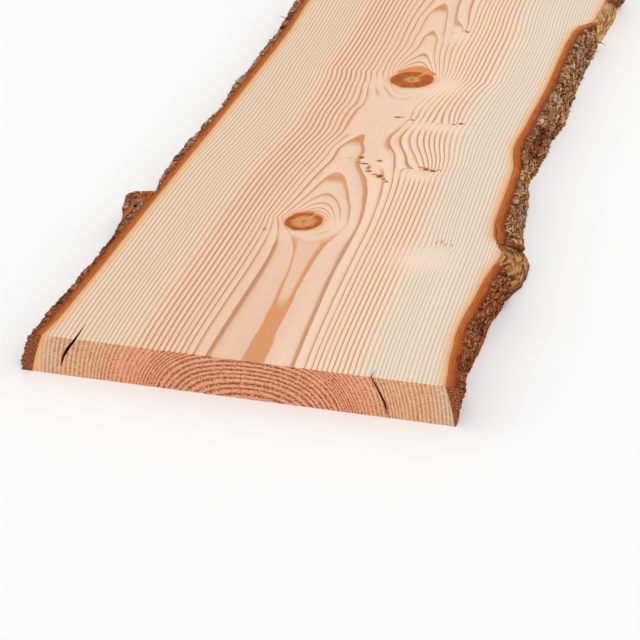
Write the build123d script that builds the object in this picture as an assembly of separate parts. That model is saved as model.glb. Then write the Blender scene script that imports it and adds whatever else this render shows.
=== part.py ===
"""A live-edge softwood plank, sawn on two faces, with the bark left on both edges.

Sizes are in millimetres. The plank lies flat, +Y runs along it and up the tree, +Z is up.
X = 0 is the plane through the pith of the log, which runs below the plank's underside.
Places along the plank are measured from its butt end and moved to the middle at the end.
"""
import os
from math import cos, pi

from build123d import *

# The sawn board
BOARD_LENGTH = 1500.0
BOARD_THICKNESS = 40.0
PITH_DEPTH = 34.0

# The live edges: place from the butt end, distance from the pith plane
LEFT_TOP_EDGE = (
    (0, 190), (40, 186.5), (210, 185), (410, 183), (620, 180.5), (820, 180), (960, 185),
    (1100, 182), (1260, 177), (1400, 181), (1500, 179),
)
LEFT_FLARE = 12.5
RIGHT_TOP_EDGE = (
    (0, 190), (60, 183.5), (105, 181), (200, 186), (240, 189), (266, 196), (300, 181),
    (340, 174), (460, 171.5), (550, 161), (610, 164), (740, 169), (880, 170), (930, 174),
    (980, 196), (1045, 199), (1095, 195), (1165, 178), (1290, 167), (1400, 171), (1500, 169),
)
RIGHT_UNDERSIDE_EDGE = (
    (0, 199.5), (50, 194), (110, 191), (200, 194), (240, 199), (282, 212), (318, 212),
    (355, 199), (385, 188), (430, 184), (555, 174.5), (650, 177), (720, 181), (900, 183),
    (960, 188), (1010, 201), (1100, 207), (1160, 203), (1270, 180), (1400, 182), (1500, 180),
)

# The branch swelling on the right edge bulges most between the two sawn faces
SWELLING_PLACE = 300.0
SWELLING_HALF_LENGTH = 62.0
SWELLING_REACH = 8.0
SWELLING_SHARES = (0.0, 1.0, 0.9, 0.0)

# The outlines that shape the flanks lie at these shares of the thickness
FLANK_LEVELS = (0.0, 0.35, 0.7, 1.0)
STATION_STEP = 20.0

# How far the uncut blank and each cutter reach past the faces that they meet
SAW_ALLOWANCE = 12.0
CUTTER_MARGIN = 1.0

# Bark thickness: place from the butt end, thickness under the sawn top face
LEFT_BARK = (
    (0, 13), (60, 14.5), (140, 13), (200, 14.5), (250, 17), (295, 14), (330, 7), (352, 11),
    (390, 14), (430, 15), (500, 13.5), (560, 12), (650, 15), (710, 12.5), (765, 15.5),
    (820, 14), (890, 14.5), (950, 16), (1060, 12.5), (1180, 15), (1290, 12.5), (1400, 15),
    (1500, 13),
)
RIGHT_BARK = (
    (0, 17), (50, 13), (100, 9.5), (180, 13), (235, 18), (285, 11), (350, 15), (400, 14),
    (470, 10.5), (550, 11.5), (610, 13), (675, 16), (740, 14), (850, 15), (930, 13), (1000, 9),
    (1080, 10), (1160, 14), (1260, 12), (1350, 15), (1500, 12.5),
)

# Bark thickness at the underside: the right butt corner has lost most of its lower bark
LEFT_UNDERSIDE_BARK = (
    (0, 12.5), (80, 12), (200, 13.5), (330, 10), (450, 14), (700, 12), (900, 14), (1200, 12),
    (1500, 13),
)
RIGHT_UNDERSIDE_BARK = (
    (0, 1.2), (50, 2.5), (150, 4), (225, 5), (245, 6.5), (350, 5), (390, 11), (460, 9),
    (510, 8), (600, 10), (650, 11), (702, 15), (750, 12), (860, 13.5), (940, 12), (1000, 8),
    (1150, 9), (1250, 11), (1500, 12),
)

# Bare branch wood on the right edge: where the bark stops and starts, at the top and underside
LOWER_BARE_TOP = (250.0, 284.0)
LOWER_BARE_UNDERSIDE = (262.0, 352.0)
UPPER_BARE_TOP = (972.0, 1047.0)
UPPER_BARE_UNDERSIDE = (990.0, 1140.0)

# The bark spur that stands off the left edge, with a pocket behind it
SPUR_OUTLINE = (
    (-186, 242), (-201, 250), (-210, 277), (-218, 316), (-215, 325), (-206, 327), (-184, 322),
)
SPUR_UNDERSIDE = 9.0
POCKET_OUTLINE = ((-193.5, 289), (-206, 314), (-190, 316))
POCKET_DEPTH = 14.0

# Drying checks at the butt end: points down the end face, and widths of the opening there
LEFT_CHECK = ((-157.5, 40), (-165.5, 29), (-171, 19), (-174, 8))
LEFT_CHECK_WIDTHS = (2.4, 3.8, 3.0, 0.8)
LEFT_CHECK_REACH = 32.0
RIGHT_CHECK = ((122.5, 40), (129.5, 27), (136, 14), (140, -3))
RIGHT_CHECK_WIDTHS = (1.4, 2.2, 2.8, 1.0)
RIGHT_CHECK_REACH = 15.0


def eased(place, points):
    """Value at a place on the smooth line that passes level through each (place, value)."""
    if place <= points[0][0]:
        return points[0][1]
    for (start, first), (end, last) in zip(points, points[1:]):
        if place <= end:
            share = (place - start) / (end - start)
            return first + (last - first) * (1 - cos(pi * share)) / 2
    return points[-1][1]


def swelling(place):
    """Share of the swelling's full reach at a place along the plank."""
    offset = abs(place - SWELLING_PLACE) / SWELLING_HALF_LENGTH
    return (1 + cos(pi * offset)) / 2 if offset < 1 else 0.0


def round_share(level):
    """Share of an edge's flare that the round of the log leaves at a level."""
    top = (BOARD_THICKNESS + PITH_DEPTH) ** 2
    return (top - (level * BOARD_THICKNESS + PITH_DEPTH) ** 2) / (top - PITH_DEPTH**2)


def bark_thickness(place, level, top_bark, underside_bark):
    """Thickness of the bark at a place and level of one flank."""
    return eased(place, underside_bark) * (1 - level) + eased(place, top_bark) * level


def left_distance(place, index, bark):
    """Distance of the left flank from the pith plane, bare or outside its bark."""
    level = FLANK_LEVELS[index]
    distance = eased(place, LEFT_TOP_EDGE) + LEFT_FLARE * round_share(level)
    thickness = bark_thickness(place, level, LEFT_BARK, LEFT_UNDERSIDE_BARK)
    return distance + (thickness if bark else 0.0)


def right_distance(place, index, bark):
    """Distance of the right flank from the pith plane, bare or outside its bark."""
    level = FLANK_LEVELS[index]
    top = eased(place, RIGHT_TOP_EDGE)
    flare = eased(place, RIGHT_UNDERSIDE_EDGE) - top
    distance = top + flare * round_share(level)
    distance += SWELLING_REACH * SWELLING_SHARES[index] * swelling(place)
    thickness = bark_thickness(place, level, RIGHT_BARK, RIGHT_UNDERSIDE_BARK)
    return distance + (thickness if bark else 0.0)


def slab(bark):
    """Slice of the log between the two sawn faces, longer than the board at both ends."""
    blank_length = BOARD_LENGTH + 2 * SAW_ALLOWANCE
    steps = round(blank_length / STATION_STEP)
    shares = [step / steps for step in range(steps + 1)]
    places = [share * blank_length - SAW_ALLOWANCE for share in shares]
    outlines = []
    for index, level in enumerate(FLANK_LEVELS):
        height = level * BOARD_THICKNESS
        right = [(right_distance(place, index, bark), place, height) for place in places]
        left = [(-left_distance(place, index, bark), place, height) for place in places]
        edges = [
            Edge.make_spline(right, parameters=shares),
            Edge.make_line(right[-1], left[-1]),
            Edge.make_spline(left, parameters=shares),
            Edge.make_line(left[0], right[0]),
        ]
        outlines.append(make_face(edges))
    return loft(outlines)


def blank_reach():
    """Distance from the pith plane that is well clear of both live edges."""
    return 2 * max(distance for _, distance in LEFT_TOP_EDGE + RIGHT_TOP_EDGE)


def span(side, top_places, underside_places):
    """Block that keeps a length of one edge, its ends leaning between the two sawn faces."""
    reach = blank_reach()
    below, above = -CUTTER_MARGIN, BOARD_THICKNESS + CUTTER_MARGIN
    corners = [
        (0, underside_places[0], below),
        (0, underside_places[1], below),
        (0, top_places[1], above),
        (0, top_places[0], above),
    ]
    return extrude(make_face(Polyline(*corners, close=True)), amount=reach, dir=(side, 0, 0))


def drying_check(path, widths, reach):
    """Wedge-shaped crack cut into the butt end, deepest at the sawn top face."""
    rise = BOARD_THICKNESS - path[0][1]
    points = [(x, z + rise) for x, z in path]
    front, above = -CUTTER_MARGIN, BOARD_THICKNESS + CUTTER_MARGIN
    left = [(x - width / 2, front, z) for (x, z), width in zip(points, widths)]
    right = [(x + width / 2, front, z) for (x, z), width in zip(points, widths)]
    mouth = [(right[0][0], front, above), *right, *reversed(left), (left[0][0], front, above)]
    root = Vertex(points[0][0], reach, above)
    return loft([make_face(Polyline(*mouth, close=True)), root])


def sawn_board(slice_of_log, cut_to_length):
    """The wood, one solid with its knots and both branch swellings."""
    board = slice_of_log & cut_to_length
    board -= drying_check(LEFT_CHECK, LEFT_CHECK_WIDTHS, LEFT_CHECK_REACH)
    board -= drying_check(RIGHT_CHECK, RIGHT_CHECK_WIDTHS, RIGHT_CHECK_REACH)
    return board


def bark_spur(slice_of_log):
    """Thick flake of bark that ends in a broken edge, standing on the left flank."""
    outline = Plane.XY.offset(SPUR_UNDERSIDE) * make_face(Polyline(*SPUR_OUTLINE, close=True))
    return extrude(outline, amount=BOARD_THICKNESS - SPUR_UNDERSIDE) - slice_of_log


def pocket():
    """Hollow between the spur and the bark beside the wood."""
    outline = Plane.XY.offset(BOARD_THICKNESS) * make_face(Polyline(*POCKET_OUTLINE, close=True))
    return extrude(outline, amount=-POCKET_DEPTH)


def main():
    bare_log = slab(bark=False)
    cut_to_length = Pos(0, BOARD_LENGTH / 2, 0) * Box(
        2 * blank_reach(), BOARD_LENGTH, 4 * BOARD_THICKNESS
    )
    bark = (slab(bark=True) - bare_log) & cut_to_length
    near_end, far_end = -CUTTER_MARGIN, BOARD_LENGTH + CUTTER_MARGIN

    nodes = {
        "sawn_board": sawn_board(bare_log, cut_to_length),
        "bark_left": (bark & span(-1, (near_end, far_end), (near_end, far_end)))
        + bark_spur(bare_log) - pocket(),
        "bark_right_butt": bark & span(
            1, (near_end, LOWER_BARE_TOP[0]), (near_end, LOWER_BARE_UNDERSIDE[0])
        ),
        "bark_right_middle": bark & span(
            1, (LOWER_BARE_TOP[1], UPPER_BARE_TOP[0]),
            (LOWER_BARE_UNDERSIDE[1], UPPER_BARE_UNDERSIDE[0]),
        ),
        "bark_right_top": bark & span(
            1, (UPPER_BARE_TOP[1], far_end), (UPPER_BARE_UNDERSIDE[1], far_end)
        ),
    }

    os.makedirs("parts", exist_ok=True)
    to_middle = Pos(0, -BOARD_LENGTH / 2, 0)
    for name, solid in nodes.items():
        placed = to_middle * solid
        box = placed.bounding_box()
        print(name, len(placed.solids()), round(placed.volume), box.min, box.max)
        export_step(placed, f"parts/{name}.step")


main()
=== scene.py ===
"""Looks of a live-edge softwood plank with bark on both edges.

Lengths are metres in the part's frame: +Y runs along the plank and up the tree, +Z is up.
Sizes named in millimetres are turned into metres by MM. A place is a distance from the butt
end, and a height is a distance above the underside.
"""
from functools import partialmethod
from math import cos, pi, radians, sin

import bpy
import numpy as np
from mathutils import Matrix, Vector
from mathutils.bvhtree import BVHTree


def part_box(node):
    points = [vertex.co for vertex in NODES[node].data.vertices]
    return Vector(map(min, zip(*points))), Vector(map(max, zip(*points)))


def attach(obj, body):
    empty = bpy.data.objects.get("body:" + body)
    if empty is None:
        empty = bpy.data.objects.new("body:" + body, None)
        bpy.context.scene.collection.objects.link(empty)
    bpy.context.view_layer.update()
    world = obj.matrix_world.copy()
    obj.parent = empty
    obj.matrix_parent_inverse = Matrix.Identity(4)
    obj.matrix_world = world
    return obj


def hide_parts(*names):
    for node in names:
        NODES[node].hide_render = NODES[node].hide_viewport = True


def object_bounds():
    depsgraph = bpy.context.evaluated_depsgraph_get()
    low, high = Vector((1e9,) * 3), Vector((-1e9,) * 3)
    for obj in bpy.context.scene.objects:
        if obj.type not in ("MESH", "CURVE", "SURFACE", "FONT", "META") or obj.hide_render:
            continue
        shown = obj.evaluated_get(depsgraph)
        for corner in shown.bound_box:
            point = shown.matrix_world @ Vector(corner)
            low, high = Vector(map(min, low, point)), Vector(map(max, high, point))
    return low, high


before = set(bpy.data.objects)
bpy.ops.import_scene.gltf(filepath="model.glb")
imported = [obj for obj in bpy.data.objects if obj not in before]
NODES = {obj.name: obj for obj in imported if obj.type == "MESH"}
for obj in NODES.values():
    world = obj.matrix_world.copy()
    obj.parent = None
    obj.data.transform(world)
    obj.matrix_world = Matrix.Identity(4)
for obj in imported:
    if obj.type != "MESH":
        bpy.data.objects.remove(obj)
cad_low, cad_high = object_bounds()

MM = 0.001
BOARD_LOW, BOARD_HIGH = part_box("sawn_board")
BUTT = BOARD_LOW.y
LENGTH = BOARD_HIGH.y - BUTT
THICKNESS = BOARD_HIGH.z
LENGTH_MM = LENGTH / MM
THICKNESS_MM = THICKNESS / MM

# Growth rings: (place, millimetres) lines that are smooth between their points
RING_CENTRE = (
    (-10, 12), (100, 8), (200, 7), (300, 6), (400, 5), (480, 6.5), (640, 9), (800, 10), (1000, 4.5),
    (1250, 3), (1510, 6),
)
RING_SHIFT = (
    (-10, 1.9), (100, 2.8), (200, 3.5), (300, 3.8), (480, 8.5), (600, 11.5), (680, 11), (800, 8.6),
    (1000, 5.5), (1250, 7), (1510, 5),
)
PITH_BELOW = 56.0
RIGHT_SQUEEZE = 1.114
# Ring number at a distance from the pith, which is 96 mm from the middle of the top face
RING_NUMBERS = (
    (48, -9.4), (54, -8.4), (61, -7.2), (67, -6.2), (72, -5.2), (78, -4.2), (84, -2.8),
    (90, -1.4), (96, 0), (100, 0.8), (104, 2.0), (108, 3.8), (113, 5.9), (120, 8.3),
    (130, 11.1), (140, 13.5), (150, 16.3), (165, 20.9), (180, 24.5), (200, 29.4), (250, 43),
)
# Band of grain pushed towards the middle: where it starts and ends, each with its softness
PUSHED_ACROSS = ((15, 6), (104, 11))
PUSHED_PLACES = ((510, 22), (1154, 100))
PUSHED_BY = 12.7
# The cathedral figure: where it lies, and the rings by which it drops at its middle
FIGURE_CENTRE = (
    (-10, 12), (100, 10), (150, 7), (250, 2), (328, -5), (364, -10), (416, -16), (480, -20),
    (525, -16), (560, -10), (640, -6), (700, 2), (780, 6), (876, -1), (985, -8), (1510, 0),
)
FIGURE_DROP = (
    (-10, -0.44), (60, -0.53), (100, -0.6), (150, -0.7), (200, -0.8), (250, -0.95),
    (328, -1.67), (364, -1.4), (416, -1.34), (470, -1.82), (525, -2.3), (600, -2),
    (640, -1.25), (680, -1.6), (780, -2.16), (840, -2.44), (876, -2.03), (930, -1.93),
    (985, -1.4), (1060, -1.2), (1200, -1.84), (1350, -2.95), (1510, -1.82),
)
FIGURE_HALF_WIDTH = (
    (-10, 30), (500, 30), (550, 42), (600, 60), (640, 62), (690, 44), (780, 30), (900, 26),
    (985, 23), (1060, 30), (1510, 30),
)
# The clear grain between the knots: the places where it starts, left and right of the middle,
# and ends, and the ring numbers between which it shows no lines
CLEAR_START = (520, 536)
CLEAR_START_RIGHT = (436, 450)
CLEAR_RIGHT = (-12, -6)
CLEAR_END = (636, 664)
CLEAR_RINGS = ((1, 1.06), (2.2, 2.4))
# In these places of it the ring number stays above this one, and FAR_BELOW frees it elsewhere
LOWEST_CLEAR_RING = 1.1
LOWEST_PLACES = ((534, 538), (606, 626))
FAR_BELOW = 20
# Branches that bend the rings round them: x, place, rings, half widths to the left and right,
# growth of those for each millimetre up the tree, reach up and reach down
BRANCHES = (
    (-12, 300, 4, (33, 25), 0, 36, 18),
    (-10, 300, 9, (16, 15), 0, 12, 8),
    (8, 722, 9, (17, 38), 0.35, 34.7, 30),
    (9, 722, 2.8, (150, 150), 0, 219, 60),
)
# Buried buds that bend the rings above them: x, place, rings, half width and reach up
BUDS = (
    (74, 452, 2.6, 17, 42), (88, 586, 1.5, 12, 34), (28, 588, 0.7, 14, 30), (43, 886, 1.5, 9, 34),
    (132, 270, 1.4, 14, 34),
)
BUD_GROWTH = 0.1
BUD_REACH_DOWN = 4
HEARTWOOD_RING = 12
# Share of a ring at which its dark latewood begins, by ring number
LATEWOOD_START = (
    (-9, 0.55), (-5, 0.66), (-4, 0.74), (-2, 0.76), (-1, 0.7), (0, 0.66), (1, 0.72), (3, 0.62),
    (12, 0.55), (43, 0.5),
)

# Branches lean up the tree, so a knot lies lower on the underside than on the top
BRANCH_LEAN = 0.35
FLOOR_SIZE = 40

CAMERA_PLACE = (0.4635, -2.261, 0.935)
CAMERA_TURN = (61.6, 0, 14.4)
CAMERA_LENS = 112.84
CAMERA_SENSOR = 36

# The light: turned 0 it shines along +Y, and tilted 0 it shines straight down
KEY_TURN = 28
KEY_TILT = 36
KEY_SPREAD = 40
KEY_STRENGTH = 1.15
ROOM_BRIGHTNESS = 0.7


def srgb(red, green, blue):
    """Linear colour of an 8-bit display colour."""
    shares = (channel / 255 for channel in (red, green, blue))
    linear = (s / 12.92 if s < 0.04 else ((s + 0.055) / 1.055) ** 2.4 for s in shares)
    return (*linear, 1.0)


def feed(node, inputs):
    """Gives a node's inputs numbers, fields or the outputs of other nodes."""
    for key, value in inputs.items():
        source = value.socket if isinstance(value, Field) else value
        if isinstance(source, bpy.types.NodeSocket):
            node.id_data.links.new(source, node.inputs[key])
        else:
            node.inputs[key].default_value = source
    return node


def add_node(tree, kind, inputs, **settings):
    """New node of a kind with its settings and inputs."""
    node = tree.nodes.new("ShaderNode" + kind)
    for key, value in settings.items():
        setattr(node, key, value)
    return feed(node, inputs)


class Field:
    """A number that varies over a surface. Arithmetic on it adds nodes to its material."""

    def __init__(self, tree, socket):
        self.tree = tree
        self.socket = socket

    def math(self, operation, *others):
        inputs = dict(enumerate((self, *others)))
        node = add_node(self.tree, "Math", inputs, operation=operation)
        return Field(self.tree, node.outputs[0])

    __add__ = __radd__ = partialmethod(math, "ADD")
    __sub__ = partialmethod(math, "SUBTRACT")
    __mul__ = __rmul__ = partialmethod(math, "MULTIPLY")
    __truediv__ = partialmethod(math, "DIVIDE")
    __pow__ = partialmethod(math, "POWER")
    exp = partialmethod(math, "EXPONENT")
    size = partialmethod(math, "ABSOLUTE")
    at_least = partialmethod(math, "MAXIMUM")
    at_most = partialmethod(math, "MINIMUM")

    def __neg__(self):
        return self * -1.0

    def __rsub__(self, other):
        return -self + other

    def __rtruediv__(self, other):
        return self**-1.0 * other

    def smooth(self, low, high):
        """0 at low, 1 at high and an eased step between them."""
        inputs = {"Value": self, "From Min": low, "From Max": high}
        node = add_node(self.tree, "MapRange", inputs, interpolation_type="SMOOTHSTEP")
        return Field(self.tree, node.outputs["Result"])

    def step_up(self, middle, softness):
        """0 well below the middle and 1 well above it."""
        return 1.0 / (((middle - self) * (1 / softness)).exp() + 1.0)

    def along(self, points):
        """Value here of the smooth line through (position, value) points."""
        positions, values = zip(*points)
        start, reach = positions[0], positions[-1] - positions[0]
        low, spread = min(values), max(values) - min(values)
        node = add_node(self.tree, "FloatCurve", {"Value": (self - start) / reach})
        curve = node.mapping.curves[0]
        shares = [((p - start) / reach, (v - low) / spread) for p, v in points]
        curve.points[0].location = shares[0]
        curve.points[1].location = shares[-1]
        for share in shares[1:-1]:
            curve.points.new(*share)
        for point in curve.points:
            point.handle_type = "AUTO_CLAMPED"
        node.mapping.update()
        return Field(self.tree, node.outputs[0]) * spread + low


def noise(point, sizes, detail=2.0, roughness=0.5):
    """Noise about 0, mostly from -1 to 1, in blotches of these sizes along the point's fields."""
    tree = point[0].tree
    scaled = [field / size for field, size in zip(point, sizes)]
    vector = add_node(tree, "CombineXYZ", dict(enumerate(scaled))).outputs[0]
    inputs = {"Vector": vector, "Scale": 1.0, "Detail": detail, "Roughness": roughness}
    node = add_node(tree, "TexNoise", inputs)
    return (Field(tree, node.outputs["Fac"]) - 0.5) * 2.0


def chance(field):
    """Number from 0 to 1 that changes from each whole number to the next."""
    node = add_node(field.tree, "TexWhiteNoise", {"W": field}, noise_dimensions="1D")
    return Field(field.tree, node.outputs["Value"])


def mix(share, *colours):
    """Colour between two colours, each an output or an 8-bit display colour."""
    first, second = (srgb(*c) if isinstance(c, tuple) else c for c in colours)
    inputs = {0: share, 6: first, 7: second}
    node = add_node(share.tree, "Mix", inputs, data_type="RGBA", clamp_factor=True)
    return node.outputs[2]


def painted(colour, *coats):
    """Colour under coats of others, each with its share."""
    for share, coat in coats:
        colour = mix(share, colour, coat)
    return colour


def shade(colour, brightness):
    """Colour made lighter or darker by a field about 1."""
    inputs = {0: colour, "Scale": brightness}
    return add_node(brightness.tree, "VectorMath", inputs, operation="SCALE").outputs[0]


def surface_material(name):
    """New material, its tree and its shader."""
    material = bpy.data.materials.new(name)
    material.use_nodes = True
    tree = material.node_tree
    return material, tree, tree.nodes["Principled BSDF"]


def set_surface(shader, colour, roughness, height, depth, shine=0.25):
    """Connects colour, roughness and a height field in units of the depth."""
    bump = add_node(height.tree, "Bump", {"Distance": depth, "Strength": 1.0, "Height": height})
    feed(shader, {"Normal": bump.outputs[0], "Base Color": colour})
    feed(shader, {"Roughness": roughness, "Specular IOR Level": shine})


def position_fields(tree):
    """Distance across, place along and height, in millimetres."""
    coordinates = add_node(tree, "TexCoord", {}).outputs["Object"]
    split = add_node(tree, "SeparateXYZ", {0: coordinates})
    across, along, height = (Field(tree, socket) * (1 / MM) for socket in split.outputs)
    return across, along - BUTT / MM, height


def normal_fields(tree):
    """The three parts of the surface's direction."""
    normal = add_node(tree, "NewGeometry", {}).outputs["True Normal"]
    split = add_node(tree, "SeparateXYZ", {0: normal})
    return [Field(tree, socket) for socket in split.outputs]


def attribute(tree, name):
    """Number stored at each vertex under a name."""
    return Field(tree, add_node(tree, "Attribute", {}, attribute_name=name).outputs["Fac"])


def bell(*offsets):
    """Round hump, 1 where every offset is 0."""
    squares = [offset * offset for offset in offsets]
    return (-sum(squares[1:], squares[0])).exp()


def one_way(offset, up, down):
    """1 at offset 0, falling at its own rate on each side."""
    return (-(offset.at_least(0) / up) + offset.at_most(0) / down).exp()


def branch_ripple(across, along, rings, half_widths, growth, up, down):
    """Rings by which a branch bends the wood round it, each side with its own half width."""
    left, right = half_widths
    more = along.at_least(0) * growth
    narrow = across.at_most(0) / (more + left) + across.at_least(0) / (more + right)
    return bell(narrow) * one_way(along, up, down) * -rings


def ring_number(across, place, height):
    """Number of growth rings counted out from the middle of the sawn face."""
    start, end = PUSHED_ACROSS
    pushed = across.step_up(*start) - across.step_up(*end)
    start, end = PUSHED_PLACES
    pushed = pushed * (place.step_up(*start) - place.step_up(*end))
    across = across + pushed * PUSHED_BY
    offset = across - place.along(RING_CENTRE)
    wide = (offset * RIGHT_SQUEEZE).at_least(-offset)
    depth = height + PITH_BELOW
    distance = (wide ** 3 + depth ** 3) ** (1 / 3) + place.along(RING_SHIFT)
    rings = distance.along(RING_NUMBERS)
    upper_place = place + (THICKNESS_MM - height) * BRANCH_LEAN
    middle = across - upper_place.along(FIGURE_CENTRE)
    middle = middle / upper_place.along(FIGURE_HALF_WIDTH)
    rings = rings + upper_place.along(FIGURE_DROP) * bell(middle)
    for x, y, *form in BRANCHES:
        rings = rings + branch_ripple(across - x, upper_place - y, *form)
    clear = place.smooth(*LOWEST_PLACES[0]) * (1 - place.smooth(*LOWEST_PLACES[1]))
    rings = rings.at_least(clear * FAR_BELOW + (LOWEST_CLEAR_RING - FAR_BELOW))
    for x, y, lift, wide, up in BUDS:
        form = (lift, (wide, wide), BUD_GROWTH, up, BUD_REACH_DOWN)
        rings = rings + branch_ripple(across - x, place - y, *form)
    return rings


def edge_depth(across, place, height, lines):
    """Distance in from the nearer live edge."""
    level = height / THICKNESS_MM
    share = 1 - level * level * 0.6 - level * 0.4
    edges = []
    for top, underside in lines:
        high = place.along(top)
        edges.append(high + (place.along(underside) - high) * share)
    left, right = edges
    return (left + across).at_most(right - across)


def spots(across, place, forms):
    """Highest of some soft round spots on the top face: x, place, half width, half length."""
    highest = place * 0
    for x, y, wide, long in forms:
        highest = highest.at_least(bell((across - x) / wide, (place - y) / long))
    return highest


def wood_material(lines):
    """Sawn softwood: rings, heart and sap colours, knots, end grain, and painted shade in the open
    checks.
    """
    material, tree, shader = surface_material("sawn_wood")
    point = position_fields(tree)
    across, place, height = point
    normal_x, normal_y, normal_z = normal_fields(tree)
    end = normal_y.size().smooth(0.5, 0.8)
    flank = (1 - end) * (1 - normal_z.size().smooth(0.6, 0.9))

    wander = noise(point, (22, 190, 22))
    fine = noise(point, (4, 55, 4))
    crumble = noise(point, (1.6, 1.6, 1.2), 3, 0.7)
    torn = noise(point, (3.2, 3.2, 1), 2, 0.6)
    figured = bell((across + 5) / 45)
    rings = ring_number(*point) + (wander * 0.13 + fine * 0.06) * (1 - figured * 0.7)
    rings = rings + end * (crumble * 0.8 + torn * 0.8)
    depth = edge_depth(across, place, height, lines) + wander * 1.5
    blend = end * 2.5 + 2.8
    heart = 1 - (rings - end * 3).smooth(HEARTWOOD_RING - blend, blend + HEARTWOOD_RING)

    glow = 1 - end * across.smooth(-20, 20) * 0.85
    face = painted(
        top_colours(rings, across, place, heart),
        (end, end_colours(rings, heart, crumble, torn)),
        (edge_glow(depth, 14) * glow * 0.8, (236, 178, 118)),
        (edge_glow(depth, 5) * glow * 0.7, (222, 142, 78)),
        (edge_glow(depth, 1.6) * (1 - end * 0.6) * 0.8, (150, 78, 32)),
    )
    face = knot_colours(face, across, place, height, crumble)
    face = pit_colours(face, across, place)
    # Painted shade: the walls of the open checks near the butt are painted nearly black, as if deep
    # in shadow.
    check_painted_shade = normal_x.size().smooth(0.3, 0.6) * depth.smooth(9, 12)
    check_painted_shade = check_painted_shade * (1 - place.smooth(38, 44))
    face = painted(face, (flank, flank_colours(point)), (check_painted_shade * 0.9, (52, 26, 14)))
    streak = noise(point, (0.9, 38, 0.9), 3, 0.6)
    nap = noise(point, (0.7, 5, 0.7), 2, 0.7)
    cloud = noise(point, (45, 260, 45))
    brightness = streak * 0.07 + nap * 0.1 + cloud * 0.04 + end * (crumble * 0.2 + 0.08)
    face = shade(face, 1 + brightness)

    relief = (streak + nap) * (1 - end) * 0.06 + (crumble + torn) * end * 0.3
    set_surface(shader, face, 0.62 + end * 0.2, relief, MM, 0.15)
    return material


def edge_glow(depth, reach):
    """1 at the live edge and 0 from the reach inwards."""
    return 1 - depth.smooth(0, reach)


def ring_tone(rings):
    """Share of dark latewood, which sets in at its own part of each ring and ends sharply."""
    part = rings.math("FRACT")
    ring = rings.math("FLOOR")
    luck = chance(ring)
    start = ring.along(LATEWOOD_START) + (luck - 0.5) * 0.1
    late = part.smooth(start, start * 0.5 + 0.49) * 0.72 + part.smooth(0.3, 0.95) * 0.28
    return late * (1 - part.smooth(0.975, 1)) * (luck * 0.35 + 0.72)


def top_colours(rings, across, place, heart):
    """Colour of the face sawn along the grain."""
    right = across.smooth(-10, 40)
    early = mix(right, (241, 215, 190), (242, 223, 204))
    dark = mix(right, (196, 164, 134), (210, 184, 158))
    early = mix(heart, early, mix(right, (248, 206, 177), (252, 219, 193)))
    dark = mix(heart, dark, mix(right, (184, 126, 88), (192, 142, 108)))
    middle = bell((across - 4) / 36) * rings.smooth(-3.5, -0.5)
    calm = mix(place.smooth(50, 450), (231, 192, 168), (239, 208, 185))
    early = mix(middle * 0.85, early, calm)
    dark = mix(middle * 0.9, dark, (212, 146, 92))

    tip = spots(across, place, ARCH_TIPS)
    dark = mix(tip, dark, (216, 140, 86))
    late = ring_tone(rings).at_least(rings.math("FRACT").smooth(0.25, 0.85) * tip)
    halo = spots(across, place, HALOES) * HALO_STRENGTH
    late = late * (1 - clear_grain(rings, across, place)) * (1 - halo)
    face = mix(late, early, dark)
    face = mix(halo * 0.5, face, (242, 216, 192))
    return flame_colours(face, rings, across, place)


# Tips of the arches, filled with orange latewood: x, place, half width, half length
ARCH_TIPS = (
    (-9, 968, 16, 24), (-14, 518, 18, 20), (-14, 408, 20, 14), (0, 874, 14, 10),
    (-37, 590, 7, 90), (24, 520, 8, 55),
)
# Pale grain with hardly any lines, beside and below knots and buds: x, place, half sizes
HALOES = (
    (20, 670, 30, 24), (8, 634, 34, 20), (50, 694, 22, 26), (-28, 692, 12, 24),
    (-14, 262, 26, 15), (18, 292, 12, 20), (72, 436, 20, 13), (62, 572, 34, 12),
    (32, 866, 12, 22), (118, 240, 26, 26),
)
HALO_STRENGTH = 0.9


def clear_grain(rings, across, place):
    """Share of the clear grain between the knots, where no lines show."""
    right = across.smooth(*CLEAR_RIGHT) * place.smooth(*CLEAR_START_RIGHT)
    started = place.smooth(*CLEAR_START).at_least(right)
    first_ring, last_ring = CLEAR_RINGS
    inside = rings.smooth(*first_ring) * (1 - rings.smooth(*last_ring))
    return started * (1 - place.smooth(*CLEAR_END)) * inside


# The flame's pale core: (place, millimetres) lines
FLAME_CORE = ((100, 9), (150, 6), (200, 3), (250, 0))
FLAME_CORE_HALF_WIDTH = ((100, 3.5), (150, 6), (200, 8), (250, 13))


def flame_colours(face, rings, across, place):
    """Orange flame at the butt, where the saw ran along one latewood layer."""
    ragged = noise((across, place, place), (5, 14, 90)) * 8
    place = place + ragged
    flame = rings.smooth(-0.5, -0.4) * (1 - rings.smooth(-0.02, 0))
    flame = flame * (1 - place.smooth(240, 272))
    offset = (across - place.along(FLAME_CORE)).size() / place.along(FLAME_CORE_HALF_WIDTH)
    lit = (1 - offset.smooth(0.7, 1.15)) * place.smooth(104, 134)
    face = mix(flame, face, (222, 152, 104))
    return mix(flame * lit * 0.9, face, (238, 200, 172))


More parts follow.
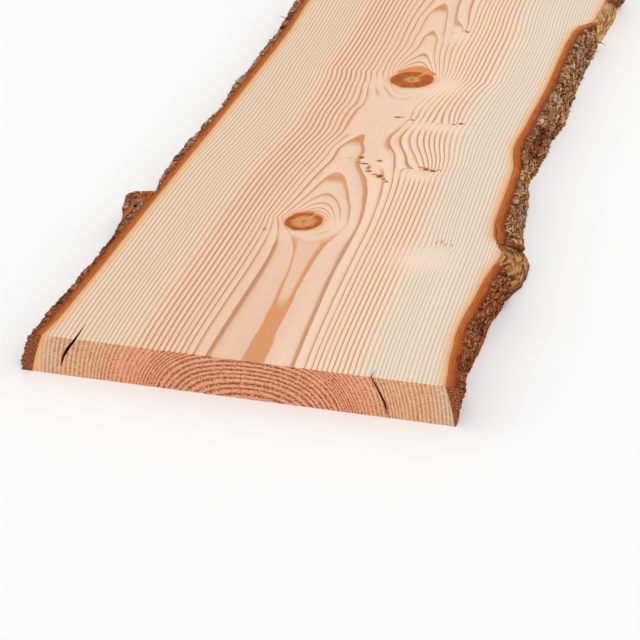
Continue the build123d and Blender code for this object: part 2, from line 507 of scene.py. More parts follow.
def end_colours(rings, heart, crumble, torn):
    """Colour of the rough end grain, its rings broken into dashes."""
    part = rings.math("FRACT")
    outer = rings.smooth(26, 31)
    early = mix(heart, mix(outer, (230, 180, 140), (226, 190, 160)), (234, 164, 128))
    late = mix(heart, mix(outer, (166, 112, 74), (164, 124, 94)), (126, 60, 30))
    line = part.smooth(0.34, 0.66) * (1 - part.smooth(0.92, 1))
    calm = rings.smooth(5, 9) * (1 - rings.smooth(12, 16)) * 0.45
    line = line * (1 - calm + crumble * 2.6 + torn * 1.8).at_least(0).at_most(1)
    fleck = (crumble + torn * 0.8).smooth(0.2, 0.7) * (1 - line)
    pore = (-crumble - torn * 0.6).smooth(0.3, 0.8)
    colour = mix(line, early, late)
    return painted(colour, (fleck * 0.6, (255, 214, 180)), (pore * 0.45, (150, 92, 58)))


def flank_colours(point):
    """Bare wood under the bark, which shows where a branch swelling has lost it."""
    fibre = noise(point, (1.4, 9, 1.4), 3, 0.6)
    return mix(fibre.smooth(-0.4, 0.5), (196, 144, 90), (240, 208, 168))


# Knots: x, place, half width, half length, shift of the axis across for each unit of depth,
# share of the radius that is pale heart, and where the orange cap starts and ends above
KNOTS = (
    (-17.5, 295, 20, 22.5, -0.245, 0.7, 0.72, 0.5),
    (8, 709, 27, 27.5, 0.02, 0.42, 0.9, 0.9),
)


def knot_colours(face, across, place, height, crumble):
    """Dark ring, paler checked heart and orange cap of each knot."""
    below = THICKNESS_MM - height
    scale = (height + PITH_BELOW) / (THICKNESS_MM + PITH_BELOW)
    for x, y, wide, long, lean, heart_share, cap_start, cap_reach in KNOTS:
        dx = (across - x + below * lean) / (scale * wide)
        dy = (place - y + below * BRANCH_LEAN) / (scale * long)
        dx = dx - dy * 0.06
        angle = dy.math("ARCTAN2", dx)
        wobble = noise((dx, dy, dx), (0.91, 0.91, 3.33))
        out = (dx * dx + dy * dy) ** 0.5 + wobble * 0.1
        rays = noise((angle.math("SINE"), angle.math("COSINE"), out), (1 / 6, 1 / 6, 1.43), 3, 0.7)

        cap = dx.size() * 1.14 + (dy - cap_start).at_least(0) / cap_reach + wobble * 0.3
        cap = cap.at_least(1.3 - dy)
        cap_line = bell((cap - 0.99) / 0.035) * dy.smooth(0.6, 0.9)
        dark_tone = mix(rays.smooth(-0.3, 0.6), (192, 94, 18), (136, 58, 6))
        heart = 1 - (out + rays * 0.16).smooth(heart_share - 0.24, heart_share + 0.08)
        light = (crumble * 0.7 + rays * 0.8).smooth(-0.5, 0.5)
        split = bell((angle - 1.2) / 0.08) * out.smooth(0.15, 0.3)
        face = painted(
            face,
            ((1 - out.smooth(0.95, 1.3)) * 0.6, (236, 160, 104)),
            ((1 - cap.smooth(0.92, 1)) * 0.95, (228, 136, 66)),
            (cap_line * 0.75, (150, 84, 40)),
            (1 - out.smooth(0.9, 1.02), dark_tone),
            (heart, mix(light, (196, 118, 62), (232, 170, 116))),
            (split * (1 - out.smooth(1, 1.3)) * 0.8, (242, 178, 120)),
            (bell(dx / 0.09, dy / 0.12) * 0.8, (140, 84, 50)),
        )
    return face


# Bud traces and pits on the top face: x, place, half width, half length, strength
PITS = (
    (2, 469, 3.6, 4.2, 1), (2.5, 456, 2.5, 4, 0.5), (9, 453.5, 6, 2.4, 0.8), (16, 444, 3, 7, 0.6),
    (24, 465, 4, 3.4, 0.75), (-9, 464, 3, 2.4, 0.3), (18.5, 435, 3.6, 3.4, 0.9),
    (27, 428, 5, 3, 0.6), (33, 425, 4.4, 5.4, 1), (39, 418, 3, 3, 0.7), (43, 413, 2.6, 2.4, 0.9),
    (72, 459, 6, 2.2, 0.6), (78, 455, 4.4, 5, 0.8), (86, 453, 5, 3.4, 0.85), (92, 457, 3, 2, 0.5),
    (17, 591, 4.4, 2.8, 0.8), (22, 593, 3, 2, 0.5), (34, 587, 2.8, 2.4, 0.7),
    (83, 586, 2.6, 2.4, 0.8), (91, 590, 4, 2.8, 0.85), (125, 281, 1.1, 6, 0.4),
    (130, 283, 1.2, 6, 0.45), (135, 279, 1.1, 5, 0.4), (141, 278, 1.4, 4, 0.35),
    (38, 892, 4, 2.4, 0.6), (42, 888, 2.6, 2.6, 1), (-52, 268, 2.2, 6, 0.5),
)


def pit_colours(face, across, place):
    """Small brown bud traces and pits, each with a faint pale rim."""
    jitter = noise((across, place, across), (2, 2, 9), 3, 0.6) * 0.6
    rim = place * 0
    mark = place * 0
    for x, y, wide, long, strength in PITS:
        form = bell((across - x) / wide, (place - y) / long) + jitter
        rim = rim.at_least(form.smooth(0.06, 0.35) * strength)
        mark = mark.at_least(form.smooth(0.38, 0.72) * strength)
    return painted(
        face,
        (rim * 0.65, (234, 170, 120)),
        (mark.smooth(0, 0.7), (196, 122, 66)),
        (mark.smooth(0.55, 1) * 0.85, (112, 56, 28)),
    )


def lattice_noise(u, v, seed):
    """Smooth noise from 0 to 1 on a square lattice of unit cells."""
    table = np.random.default_rng(seed).random((256, 256))
    column, row = np.floor(u).astype(int), np.floor(v).astype(int)
    s, t = u - column, v - row
    s, t = s * s * (3 - 2 * s), t * t * (3 - 2 * t)
    corner = [table[(column + i) % 256, (row + j) % 256] for i in (0, 1) for j in (0, 1)]
    near = corner[0] * (1 - t) + corner[1] * t
    far = corner[2] * (1 - t) + corner[3] * t
    return near * (1 - s) + far * s


def layered_noise(u, v, seed, octaves=3):
    """Noise about 0 from a few lattices, each twice as fine as the one before."""
    total = np.zeros_like(u)
    for octave in range(octaves):
        fine = 2**octave
        total += (lattice_noise(u * fine + 17.3 * octave, v * fine, seed + octave) - 0.5) / fine
    return total * 2


def scattered_cells(u, v, seed):
    """Edge distance and a random tone of the scattered cell at each point."""
    table = np.random.default_rng(seed).random((3, 128, 128))
    column, row = np.floor(u).astype(int), np.floor(v).astype(int)
    first = np.full(u.shape, 9.0)
    second = np.full(u.shape, 9.0)
    tone = np.zeros_like(u)
    for i in (-1, 0, 1):
        for j in (-1, 0, 1):
            a, b = (column + i) % 128, (row + j) % 128
            du = column + i + table[0][a, b] - u
            dv = row + j + table[1][a, b] - v
            distance = np.hypot(du, dv)
            nearer = distance < first
            second = np.where(nearer, first, np.minimum(second, distance))
            tone = np.where(nearer, table[2][a, b], tone)
            first = np.where(nearer, distance, first)
    return second - first, tone


def eased_step(value, low, high):
    """0 at low, 1 at high and an eased step between them."""
    share = np.clip((value - low) / (high - low), 0, 1)
    return share * share * (3 - 2 * share)


def search_tree(node):
    """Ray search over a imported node's mesh."""
    mesh = NODES[node].data
    return BVHTree.FromPolygons(
        [vertex.co for vertex in mesh.vertices], [face.vertices for face in mesh.polygons]
    )


BOARD_TREE = search_tree("sawn_board")
# Metres from the pith plane at which rays start: outside every flank, or in the wood
OUTER_START = 0.4
INNER_START = 0.1
# Millimetres that rays stay inside the board's ends, and the share of the thickness that they
# stay inside its sawn faces
PLACE_MARGIN = 0.5
LEVEL_MARGIN = 0.01
# Stations along each edge of the sawn board
EDGE_STATIONS = 61
# Bark is sampled at stations this far apart and at these levels, this far inside its ends
STATION_GAP = 4.0
LEVELS = np.linspace(1.0, 0.0, 11)
END_MARGIN = 0.6
# How far the bark stays inside the solids' sides
SIDE_MARGIN = 0.3


def strip_ends(node):
    """Lowest and highest place of a bark node at its underside and at its top."""
    points = np.array([vertex.co for vertex in NODES[node].data.vertices]) / MM
    ends = []
    for height in (0.0, THICKNESS_MM):
        places = points[np.abs(points[:, 2] - height) < 0.2, 1] - BUTT / MM
        ends.append((places.min(), places.max()))
    return ends


def ray_distance(tree, side, place, level, outward):
    """Distance from the pith plane to a node's inner or outer face, in millimetres."""
    height = min(max(level, LEVEL_MARGIN), 1 - LEVEL_MARGIN) * THICKNESS
    along = BUTT + min(max(place, PLACE_MARGIN), LENGTH_MM - PLACE_MARGIN) * MM
    start = Vector((side * (INNER_START if outward else OUTER_START), along, height))
    found = tree.ray_cast(start, Vector((side if outward else -side, 0, 0)))[0]
    return None if found is None else abs(found.x) / MM


def edge_line(side, level):
    """(place, distance) points of one edge of the sawn board at a level."""
    places = np.linspace(0, LENGTH_MM, EDGE_STATIONS)
    return [(p, ray_distance(BOARD_TREE, side, p, level, False)) for p in places]


def span_at(level, ends):
    """Start and end at a level, between those at the underside and those at the top."""
    return [ends[0][k] * (1 - level) + ends[1][k] * level for k in (0, 1)]


def sampled_faces(tree, side, ends, count):
    """Inner and outer distances of a node at evenly spread stations and levels."""
    faces = np.full((2, count, len(LEVELS)), np.nan)
    for column, level in enumerate(LEVELS):
        start, end = span_at(level, ends)
        for row, place in enumerate(np.linspace(start + END_MARGIN, end - END_MARGIN, count)):
            for face, outward in enumerate((True, False)):
                found = ray_distance(tree, side, place, level, outward)
                faces[face, row, column] = np.nan if found is None else found
    for face in faces:
        for column in range(len(LEVELS)):
            line = face[:, column]
            known = ~np.isnan(line)
            line[~known] = np.interp(np.flatnonzero(~known), np.flatnonzero(known), line[known])
    return faces


def spread_out(grid, rows, columns):
    """Grid of numbers read at more rows and columns, straight between the old ones."""
    old_rows, old_columns = (np.linspace(0, 1, n) for n in grid.shape)
    new_rows, new_columns = np.linspace(0, 1, rows), np.linspace(0, 1, columns)
    tall = np.array([np.interp(new_rows, old_rows, grid[:, k]) for k in range(grid.shape[1])])
    return np.array([np.interp(new_columns, old_columns, tall[:, k]) for k in range(rows)])


def add_object(name, data):
    """New object in the scene."""
    made = bpy.data.objects.new(name, data)
    bpy.context.scene.collection.objects.link(made)
    return made


def closed_strip(name, side, sections, numbers):
    """Closed mesh through a row of ring-shaped sections, with numbers at each vertex."""
    stations, ring = sections.shape[:2]
    points = sections.reshape(-1, 3)
    row = np.arange(stations - 1)[:, None] * ring
    here, after = np.arange(ring)[None, :], (np.arange(ring)[None, :] + 1) % ring
    quads = np.stack([row + here, row + after, row + ring + after, row + ring + here], -1)
    quads = quads.reshape(-1, 4)
    caps = [np.arange(ring)[::-1], (stations - 1) * ring + np.arange(ring)]
    if side > 0:
        quads = quads[:, ::-1]
        caps = [cap[::-1] for cap in caps]
    mesh = bpy.data.meshes.new(name)
    mesh.from_pydata(points.tolist(), [], quads.tolist() + [cap.tolist() for cap in caps])
    mesh.validate()
    for key, values in numbers.items():
        layer = mesh.attributes.new(key, "FLOAT", "POINT")
        layer.data.foreach_set("value", values.astype(np.float32).ravel())
    mesh.shade_smooth()
    mesh.set_sharp_from_angle(angle=radians(38))
    return add_object(name, mesh)


# Cells across the top, the underside and the inner face of each section of a strip
TOP_CELLS = 12
UNDERSIDE_CELLS = 6
INNER_CELLS = 3
CRUST_DROP = 2.0
# The drop of the crust fades out this far down the outer face
DROP_FADE = 6.0


def crust_drop(place, x, part):
    """Depth by which the crumbly outer crust has broken below the sawn top face."""
    crumbs = layered_noise(place / 3.4, x / 2.8, 21, 2) * 0.5 + 0.5
    return eased_step(part, 0.5, 1.0) * (0.15 + 0.85 * crumbs) * CRUST_DROP


def strip_sections(side, place, inner, outer, top_cells=TOP_CELLS):
    """Ring sections of a strip from its inner and outer faces, listed from the top down."""
    rows, columns = outer.shape
    heights = np.linspace(THICKNESS_MM, 0, columns)
    made = []

    def add(x, column, z, is_sawn):
        sawn = np.full(rows, float(is_sawn))
        made.append((x, place[:, column], z, sawn, x - inner[:, column]))

    for cell in range(top_cells):
        part = cell / top_cells
        x = inner[:, 0] * (1 - part) + outer[:, 0] * part
        add(x, 0, heights[0] - crust_drop(place[:, 0], x, part), 1)
    drop = crust_drop(place[:, 0], outer[:, 0], 1.0)
    for column in range(columns):
        fade = max(0.0, 1 - (heights[0] - heights[column]) / DROP_FADE)
        add(outer[:, column], column, heights[column] - drop * fade, 0)
    for cell in range(1, UNDERSIDE_CELLS + 1):
        part = 1 - cell / UNDERSIDE_CELLS
        x = inner[:, -1] * (1 - part) + outer[:, -1] * part
        add(x, columns - 1, np.zeros(rows), 1)
    for cell in range(1, INNER_CELLS):
        column = round((columns - 1) * (1 - cell / INNER_CELLS))
        add(inner[:, column], column, np.full(rows, heights[column]), 0)
    x, y, z, sawn, reach = (np.array(part).T for part in zip(*made))
    return np.stack([x * side, y + BUTT / MM, z], -1) * MM, sawn, reach


# Lumps and hollows of the bark: side, place, height, half length, half height, rise
LUMPS = (
    (1, 238, 22, 13, 16, 2.6), (1, 308, 26, 15, 16, 3.2), (1, 640, 30, 15, 12, 3.4),
    (1, 598, 21, 42, 10, -5.0), (1, 545, 34, 14, 9, 1.6), (1, 452, 14, 30, 16, 1.6),
    (1, 125, 18, 26, 14, 1.4), (1, 760, 22, 34, 12, 2.0), (1, 840, 16, 26, 12, -2.2),
    (-1, 120, 20, 30, 20, 1.2), (-1, 452, 26, 26, 20, 1.5), (-1, 560, 20, 22, 22, -1.6),
    (-1, 765, 24, 30, 22, 1.6),
)


def bark_relief(side, place, height):
    """Height of the rough bark above its mean face, and tones from 0 to 1 by name."""
    seed = 40 if side > 0 else 90
    bend = layered_noise(place / 16, height / 11, seed + 3, 2)
    u, v = place + bend * 5, height + bend * 2.5
    plate_gap, plate_tone = scattered_cells(u / 30 + 3, v / 9, seed + 7)
    slant = 0.35
    u, v = (u + v * slant) / 12, (v - u * slant * 0.25) / 3.2
    scale_gap, scale_tone = scattered_cells(u, v, seed + 11)
    swell = layered_noise(place / 48, height / 26, seed + 17, 3)
    rough = layered_noise(place / 3.1, height / 2.2, seed + 23, 3)
    fissure = 1 - eased_step(plate_gap, 0.02, 0.22)
    crack = 1 - eased_step(scale_gap, 0.02, 0.3)
    relief = swell * 1.9 + (plate_tone - 0.5) * 1.6 - fissure * 1.9
    relief += (scale_tone - 0.5) * 1.5 - crack * 0.9 + rough * 0.55
    for lump_side, lump_place, lump_height, long, tall, rise in LUMPS:
        if lump_side == side:
            reach = ((place - lump_place) / long) ** 2 + ((height - lump_height) / tall) ** 2
            relief += rise * np.exp(-reach)
    # Share of fissure and crack, which the crust colours use to paint shade in the bark's hollows
    hollow = np.clip(fissure * 0.65 + crack * 0.5 - rough * 0.3, 0, 1)
    return relief, {"hollow": hollow, "plate": plate_tone, "scale": scale_tone}


# A broken end of the bark: how far back it rounds off, and how uneven it is
BROKEN_REACH = 26.0
END_UNEVEN = 9.0


def end_round(distance, reach):
    """Share of the full thickness near a broken end of the bark."""
    share = np.clip(distance / reach, 0, 1)
    return np.sqrt(1 - (1 - share) ** 2)


def bark_strip(name, node, side, step, rows_up, broken):
    """Strip of bark with a rough outer face, sawn top and underside, and rounded broken ends."""
    ends = strip_ends(node)
    span = ends[1][1] - ends[1][0]
    inner, outer = sampled_faces(search_tree(node), side, ends, max(8, int(span / STATION_GAP)))
    stations = int(span / step)
    inner = spread_out(inner, stations, rows_up)
    outer = spread_out(outer, stations, rows_up)
    level = np.linspace(1, 0, rows_up)[None, :]
    share = np.linspace(0, 1, stations)[:, None]
    start, end = span_at(level, ends)
    uneven = layered_noise(level * 4, level * 0 + start[0, 0], 61, 2) * 0.5 + 0.5
    start = start + uneven * END_UNEVEN * broken[0]
    end = end - uneven * END_UNEVEN * broken[1]
    place = start + (end - start) * share
    height = level * THICKNESS_MM + place * 0
    if side < 0:
        outer = without_spur(place, inner, outer)
    relief, tones = bark_relief(side, place, height)
    thickness = outer - inner
    relief = relief * np.clip(thickness / 7, 0.25, 1)
    rounding = np.ones_like(place)
    for is_broken, distance in zip(broken, (place - start, end - place)):
        if is_broken:
            rounding = np.minimum(rounding, end_round(distance, BROKEN_REACH))
    outer = inner + np.maximum((thickness + relief) * rounding, 0.5)
    limit = (cad_high.x if side > 0 else -cad_low.x) / MM - SIDE_MARGIN
    outer = np.minimum(outer, limit)
    sections, sawn, reach = strip_sections(side, place, inner, outer)
    tones["torn"] = 1 - rounding
    numbers = {"sawn": sawn, "reach": reach}
    numbers.update({key: section_numbers(grid) for key, grid in tones.items()})
    piece = closed_strip(name, side, sections, numbers)
    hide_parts(node)
    return finish_piece(piece)


def section_numbers(grid, top_cells=TOP_CELLS):
    """Numbers of the outer face, repeated round the rest of each section of a strip."""
    top = np.repeat(grid[:, :1], top_cells, 1)
    under = np.repeat(grid[:, -1:], UNDERSIDE_CELLS + INNER_CELLS - 1, 1)
    return np.concatenate([top, grid, under], 1)


# The bark beside the spur: place, thickness
BESIDE_SPUR = ((236, 15.5), (262, 15.5), (295, 13), (322, 7), (334, 7))


def without_spur(place, inner, outer):
    """Outer face of the left bark as it runs on behind the spur."""
    places, thicknesses = zip(*BESIDE_SPUR)
    plain = inner + np.interp(place, places, thicknesses)
    return np.where((place > places[0]) & (place < places[-1]), np.minimum(plain, outer), outer)


# The spur: place, distance of its outer face from the pith plane, then the height of its foot,
# the cells across its top and the width of its rim
SPUR_FACE = ((240, 186), (250, 200), (277, 209), (300, 213.5), (316, 217), (325, 214.5), (329, 205))
SPUR_FOOT = 9.0
SPUR_CELLS = 40
SPUR_RIM = 4.4
# Its hollow: where it starts and ends, how deep it is, and the hole at its inner corner, which
# has a place, a distance from the pith plane, a half length, a half width and a depth
BASIN_PLACES = (284.0, 321.0)
BASIN_DEPTH = 7.5
HOLE = (302.0, 200.0, 9.0, 4.5, 12.0)


def bark_spur():
    """Flake of bark that stands off the left edge, hollow behind its rim."""
    stations, rows_up = 112, 40
    places, distances = zip(*SPUR_FACE)
    share = np.linspace(0, 1, stations)[:, None]
    level = np.linspace(1, 0, rows_up)[None, :]
    place = places[0] + (places[-1] - places[0]) * share + level * 0
    height = SPUR_FOOT + level * (THICKNESS_MM - SPUR_FOOT) + place * 0
    wood = np.array([[ray_distance(BOARD_TREE, -1, p, 0.9, False)] for p in place[:, 0]])
    inner = wood + np.interp(place, *zip(*BESIDE_SPUR)) - 1.5 + level * 0
    reach = np.interp(place, places, distances) - inner
    taper = 0.35 + 0.65 * level**0.7
    relief, tones = bark_relief(-1, place + 700, height)
    strands = layered_noise(place / 26, height / 1.8, 77, 2)
    closing = end_round(share * (1 - share) * 4, 0.3)
    relief = (relief * 0.5 + strands * 0.9) * closing
    outer = inner + np.maximum(reach * taper * closing + relief, 0.5)
    outer = np.minimum(outer, -cad_low.x / MM - SIDE_MARGIN)
    sections, sawn, reach = strip_sections(-1, place, inner, outer, SPUR_CELLS)
    foot = SPUR_FOOT * MM
    sections[..., 2] = foot + sections[..., 2] * (THICKNESS - foot - SIDE_MARGIN * MM) / THICKNESS
    # Golden tone of the spur's hollow, with painted shade near its rim wall and in its hole
    golden_and_painted_shade = hollow_out(sections, sawn)
    numbers = {"sawn": sawn, "reach": reach, "golden_and_painted_shade": golden_and_painted_shade}
    numbers.update({key: section_numbers(grid, SPUR_CELLS) for key, grid in tones.items()})
    return finish_piece(closed_strip("bark_spur", -1, sections, numbers))


def hollow_out(sections, sawn):
    """Lowers the spur's top behind its rim, and gives the hollow's share of golden tone at each
    point, cut down near the rim wall as painted shade and below zero in the hole, where it paints
    shade.
    """
    along = (sections[..., 1] - BUTT) / MM
    distance = -sections[..., 0] / MM
    rim = np.interp(along, *zip(*SPUR_FACE)) - SPUR_RIM
    start, end = BASIN_PLACES
    basin = eased_step(along, start, start + 12) * (1 - eased_step(along, end - 2, end))
    basin = basin * (1 - eased_step(distance, rim - 1.5, rim))
    uneven = 0.8 + 0.3 * layered_noise(along / 5, distance / 3, 88, 2)
    x, y, long, wide, depth = HOLE
    hole = np.exp(-(((along - x) / long) ** 2) - ((distance - y) / wide) ** 2)
    # Painted shade: the golden tone falls to a quarter within a few millimetres of the rim wall,
    # where its shade falls.
    sunny = 1 - eased_step(distance, rim - 9, rim - 3)
    top = (sawn > 0.5) & (sections[..., 2] > 0.6 * THICKNESS)
    fall = basin * (BASIN_DEPTH * uneven + hole * depth)
    sections[..., 2] -= np.where(top, fall, 0) * MM
    # Painted shade: the hole drives the share below zero, which paints it nearly black.
    return np.where(top, basin * (0.25 + 0.75 * sunny - hole * 4), 0)


# Bare branch wood on the right edge: places at the top and underside, and how rough it is
BARE_SPANS = (
    ("bare_branch_lower", (237.0, 298.0), (248.0, 366.0), 2.4),
    ("bare_branch_upper", (958.0, 1061.0), (976.0, 1154.0), 0.6),
)
# How far the skin may stand out past the solids' side
SKIN_BEYOND = 0.8
SKIN_STEP = 0.9
# Rows of the skin, one more than a multiple of the rows from one sampled row to the next
SKIN_ROWS = 49
ROWS_TO_SAMPLE = 6
SAMPLED_PLACES = 40


def bare_skin(name, top, underside, roughness):
    """Fibrous skin of a bare branch swelling, over the board's flank."""
    stations = int((underside[1] - top[0]) / SKIN_STEP)
    level = np.linspace(0.985, 0.005, SKIN_ROWS)[None, :]
    share = np.linspace(0, 1, stations)[:, None]
    start, end = span_at(level, (underside, top))
    place = start + (end - start) * share
    height = level * THICKNESS_MM + place * 0
    places = np.linspace(place.min() + 1, place.max() - 1, SAMPLED_PLACES)
    sampled = np.array([
        [ray_distance(BOARD_TREE, 1, p, h, False) for h in level[0, ::ROWS_TO_SAMPLE]]
        for p in places
    ])
    rows = spread_out(sampled, SAMPLED_PLACES, SKIN_ROWS).T
    face = np.array([np.interp(here, places, row) for here, row in zip(place.T, rows)]).T
    fibres = layered_noise(place / 9, height / 2.2, 301, 3)
    knobs = layered_noise(place / 22, height / 14, 311, 3)
    relief = roughness * (0.6 + fibres * 0.5 + knobs * 0.9)
    closing = end_round(np.minimum(share, 1 - share), 0.1) * end_round(1 - level, 0.2)
    outer = face + 0.25 + np.maximum(relief, 0) * closing
    outer = np.minimum(outer, cad_high.x / MM + SKIN_BEYOND)
    sections = strip_sections(1, place, face - 1.4, outer)[0]
    sections[..., 2] = np.clip(sections[..., 2], 0.2 * MM, THICKNESS - 0.6 * MM)
    numbers = {"rough": section_numbers(np.clip(fibres * 0.5 + 0.5, 0, 1))}
    return finish_piece(closed_strip(name, 1, sections, numbers))


def finish_piece(piece):
    """Puts a piece on the part's only body."""
    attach(piece, "root")
    return piece


def bark_material():
    """Bark: orange-brown layers where it is sawn, scaly tan and red-brown outside."""
    material, tree, shader = surface_material("bark")
    point = position_fields(tree)
    across, place, _ = point
    sawn, reach = attribute(tree, "sawn"), attribute(tree, "reach")
    torn, golden_and_painted_shade = attribute(tree, "torn"), attribute(tree, "golden_and_painted_shade")
    speck = noise(point, (2, 3.4, 1.6), 4, 0.65)
    fleck = noise(point, (0.9, 1.5, 0.8), 3, 0.6)
    outside = crust_colours(tree, point, speck, fleck)

    sawn = sawn.smooth(0.45, 0.55)
    strand = noise(point, (1.6, 12, 6))
    golden_tone = mix(strand.smooth(-0.4, 0.4), (176, 100, 46), (222, 158, 96))
    inner_layer = mix(fleck.smooth(-0.3, 0.4), (96, 42, 20), (160, 86, 46))
    half = LENGTH_MM / 2
    end = normal_fields(tree)[1].size().smooth(0.8, 0.95)
    end = end * (place - half).size().smooth(half - 1.5, half - 0.5)
    end_tone = mix((speck + fleck * 0.8).smooth(-0.22, 0.25), (84, 36, 20), (184, 108, 72))
    colour = painted(
        outside,
        (sawn, layer_colours(across, place, reach, outside, speck, fleck)),
        # Golden tone of the spur's hollow, kept off near its rim wall as painted shade; where the
        # share is below zero the hole is painted nearly black as painted shade.
        (golden_and_painted_shade.at_least(0), golden_tone),
        ((-golden_and_painted_shade).smooth(0, 0.5), (46, 20, 8)),
        (torn.smooth(0.04, 0.4) * (1 - sawn * 0.5) * 0.85, inner_layer),
        (end, end_tone),
    )
    colour = shade(colour, 1 + fleck * 0.14)
    relief = speck * (1 - sawn * 0.6) * 0.7 + fleck * 0.3
    set_surface(shader, colour, 0.86 + sawn * -0.08, relief, MM, 0.12)
    return material


def layer_colours(across, place, reach, crust, speck, fleck):
    """Colours of the sawn bark in layers, by the distance out from the wood."""
    streak = noise((reach, place, across * 0), (0.8, 20, 1), 3, 0.65)
    blotch = noise((across, place, reach), (7, 16, 5), 3)
    distance = reach + streak * 0.8 + blotch * 2.6
    left = (-across).smooth(-10, 10)
    pale = distance.smooth(5, 8) * left
    crumbly = distance + speck * 5 + left * 1.5
    return painted(
        mix(distance.smooth(0.4, 2.8), (214, 118, 52), (184, 92, 36)),
        (distance.smooth(3.5, 7.5), (150, 68, 28)),
        (streak.smooth(0, 0.4) * 0.6, (214, 126, 66)),
        ((-streak).smooth(0.05, 0.4) * 0.65, (110, 44, 16)),
        (reach.smooth(0.9, 0) * 0.6, (136, 66, 26)),
        (pale * (0.45 + blotch), (204, 128, 94)),
        (crumbly.smooth(5.5, 9.5) * 0.85, (102, 44, 20)),
        (crumbly.smooth(7.5, 11.5) * 0.85, crust),
        (fleck.smooth(0.15, 0.5) * 0.55, (92, 38, 16)),
    )


def crust_colours(tree, point, speck, fleck):
    """Colours of the rough outside of the bark, darker and redder near the butt, with painted shade
    in its fissures and cracks.
    """
    across, place, height = point
    hollow, plate, scale = (attribute(tree, key) for key in ("hollow", "plate", "scale"))
    right = across.smooth(-10, 10)
    butt = 1 - place.smooth(225, 262)
    patch = noise(point, (30, 34, 24), 3)
    dash = noise(point, (2.6, 6, 1.7), 3, 0.6)
    tone = (dash * 1.5 + scale * 0.3 + speck * 0.3 - 0.12).smooth(-0.35, 0.6)
    dark = mix(butt, (104, 56, 24), (98, 42, 16))
    light = mix(butt, (226, 180, 134), (204, 136, 88))
    middle = mix(butt, (172, 122, 80), (154, 86, 50))
    grey = (patch + plate * 0.5).smooth(0.2, 0.65) * (1 - butt) * 0.5
    red = (plate - patch * 0.8).smooth(0.7, 1) * 0.55
    cavity = bell((place - 598) / 66, (height - 21) / 11) * right
    cavity_tone = mix(dash.smooth(-0.3, 0.5), (84, 30, 12), (176, 96, 60))
    lichen = bell((place - 628) / 9, (height - 39) / 5)
    lichen = lichen.at_least(bell((place - 876) / 28, (height - 30) / 6) * 0.9) * right
    wall = bell((place - 276) / 26, (height - 30) / 14) * (1 - right)
    wall = wall * (dash * 2 + 0.6).at_least(0).at_most(1)
    colour = painted(
        mix(tone.smooth(0, 0.55), dark, middle),
        (tone.smooth(0.5, 1), light),
        (grey, (174, 150, 124)),
        (red, (150, 78, 42)),
        ((cavity + patch * 0.3).smooth(0.3, 0.6) * 0.85, cavity_tone),
        ((lichen + speck * 0.7).smooth(0.4, 0.9) * 0.7, (190, 168, 144)),
        (wall * 0.7, (208, 196, 184)),
    )
    broad = noise(point, (9, 20, 7))
    colour = shade(colour, 1 + broad * 1.1)
    # Painted shade: the fissures and cracks of the relief are painted nearly black.
    painted_fissure_shade = (hollow * 0.8 + fleck * 0.2 - dash * 0.6).smooth(0.24, 0.64)
    return mix(painted_fissure_shade * 0.9, colour, (58, 22, 6))


def bare_material():
    """Weathered branch wood: tan, fibrous, with dark specks and a dark lower rim."""
    material, tree, shader = surface_material("bare_branch_wood")
    point = position_fields(tree)
    _, place, height = point
    rough = attribute(tree, "rough")
    fibre = noise(point, (1.2, 8, 1), 3, 0.6)
    patch = noise(point, (12, 16, 10), 3)
    speck = noise(point, (1.8, 2.2, 1.6), 3, 0.6)
    upper = place.smooth(600, 700)
    dark = mix(upper, (92, 48, 18), (142, 86, 42))
    light = mix(upper, (210, 144, 84), (234, 182, 112))
    low = (1 - (height + patch * 6).smooth(3, 14)) * (1 - place.smooth(400, 420))
    colour = painted(
        mix((rough + fibre * 0.8).smooth(0.15, 0.9), dark, light),
        (patch.smooth(0, 0.5) * (0.5 - upper * 0.35), (140, 82, 34)),
        (speck.smooth(0.34, 0.6) * (0.7 - upper * 0.3), (92, 48, 20)),
        (low * 0.8, (84, 42, 18)),
    )
    set_surface(shader, colour, 0.75 + rough * 0.1, fibre * 0.6 + speck * 0.3, MM)
    return material


# Splinters: root across, place and height, then the tip, and the thickness at the root
SPLINTERS = (
    ((-196, 885, 36.5), (-211, 893, 37.5), 1.1),
    ((199, 974, 10), (211, 966, 9), 1.8),
    ((192, 928, 12), (207, 926, 14.5), 1.5),
)


def splinter(index, root, tip, thickness):
    """Thin fibre that sticks out of the bark and narrows to its tip."""
    root, tip = Vector(root), Vector(tip)
    side_way = (tip - root).cross(Vector((0, 0, 1))).normalized()
    points, sides, rings = [], 6, 5
    for number in range(rings):
        share = number / (rings - 1)
        middle = root.lerp(tip, share) + Vector((0, 0, 4.8 * share * (1 - share)))
        radius = thickness / 2 * (1 - 0.75 * share)
        for corner in range(sides):
            turn = 2 * pi * corner / sides
            offset = side_way * cos(turn) + Vector((0, 0, sin(turn)))
            points.append((middle + offset * radius) * MM + Vector((0, BUTT, 0)))
    faces = [
        (low + k, low + k + sides, low + (k + 1) % sides + sides, low + (k + 1) % sides)
        for low in range(0, sides * (rings - 1), sides) for k in range(sides)
    ]
    faces += [tuple(range(sides)), tuple(reversed(range(sides * (rings - 1), sides * rings)))]
    mesh = bpy.data.meshes.new(f"splinter_{index}")
    mesh.from_pydata(points, [], faces)
    mesh.shade_smooth()
    mesh.set_sharp_from_angle(angle=radians(50))
    return finish_piece(add_object(mesh.name, mesh))


def fibre_material():
    """Plain torn fibre."""
    material, tree, shader = surface_material("torn_fibre")
    tone = noise(position_fields(tree), (1.5, 1.5, 1.5))
    colour = mix(tone.smooth(-0.5, 0.5), (78, 48, 30), (132, 98, 72))
    set_surface(shader, colour, 0.8 + tone * 0.05, tone, 0.2 * MM)
    return material


def dress(pieces, material):
    """Gives pieces one material."""
    for piece in pieces:
        piece.data.materials.clear()
        piece.data.materials.append(material)


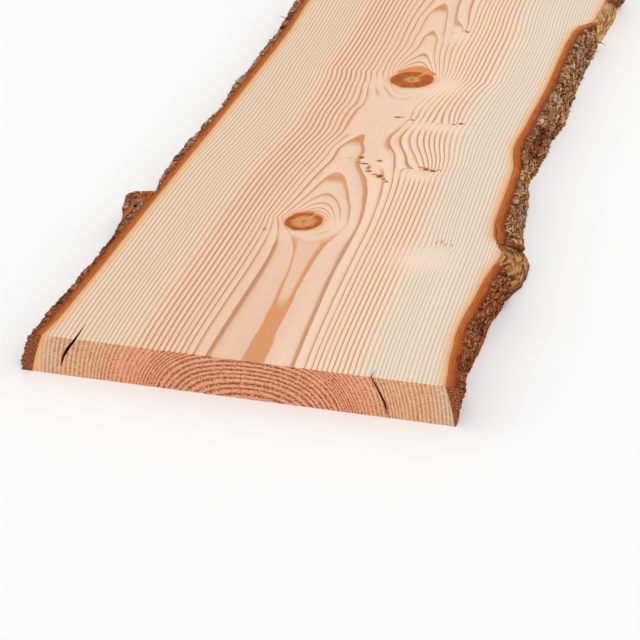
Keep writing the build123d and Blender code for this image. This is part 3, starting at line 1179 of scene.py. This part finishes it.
def make_floor():
    """Plain pale floor under the plank."""
    half = FLOOR_SIZE / 2
    mesh = bpy.data.meshes.new("floor")
    corners = [(-half, -half, 0), (half, -half, 0), (half, half, 0), (-half, half, 0)]
    mesh.from_pydata(corners, [], [(0, 1, 2, 3)])
    floor = add_object("floor", mesh)
    floor.location.z = cad_low.z
    material, _, shader = surface_material("pale_floor")
    feed(shader, {"Base Color": (0.97, 0.97, 0.97, 1), "Roughness": 0.9, "Specular IOR Level": 0.1})
    mesh.materials.append(material)


def light_studio():
    """Bright even room with one broad soft light from above the camera's right."""
    world = bpy.data.worlds.new("studio")
    world.use_nodes = True
    feed(world.node_tree.nodes["Background"], {0: (1, 1, 1, 1), 1: ROOM_BRIGHTNESS})
    bpy.context.scene.world = world
    light = bpy.data.lights.new("key", "SUN")
    light.angle = radians(KEY_SPREAD)
    light.energy = KEY_STRENGTH
    add_object("key", light).rotation_euler = (radians(KEY_TILT), 0, radians(KEY_TURN))


def place_camera():
    """Camera at the photograph's viewing angle."""
    data = bpy.data.cameras.new("camera")
    data.lens = CAMERA_LENS
    data.sensor_width = CAMERA_SENSOR
    camera = add_object("camera", data)
    camera.location = CAMERA_PLACE
    camera.rotation_euler = [radians(angle) for angle in CAMERA_TURN]
    bpy.context.scene.camera = camera


def main():
    lines = [[edge_line(side, level) for level in (1, 0)] for side in (-1, 1)]
    dress([NODES["sawn_board"]], wood_material(lines))
    bark = [
        bark_strip("left_bark", "bark_left", -1, 1.2, 40, (False, False)),
        bark_strip("right_bark_butt", "bark_right_butt", 1, 0.8, 48, (False, True)),
        bark_strip("right_bark_middle", "bark_right_middle", 1, 0.9, 48, (True, True)),
        bark_strip("right_bark_top", "bark_right_top", 1, 1.0, 44, (True, False)),
        bark_spur(),
    ]
    dress(bark, bark_material())
    dress([bare_skin(*span) for span in BARE_SPANS], bare_material())
    slivers = [splinter(index, *form) for index, form in enumerate(SPLINTERS, 1)]
    dress(slivers, fibre_material())
    make_floor()
    light_studio()
    place_camera()
    bpy.context.scene.view_settings.view_transform = "Standard"


main()
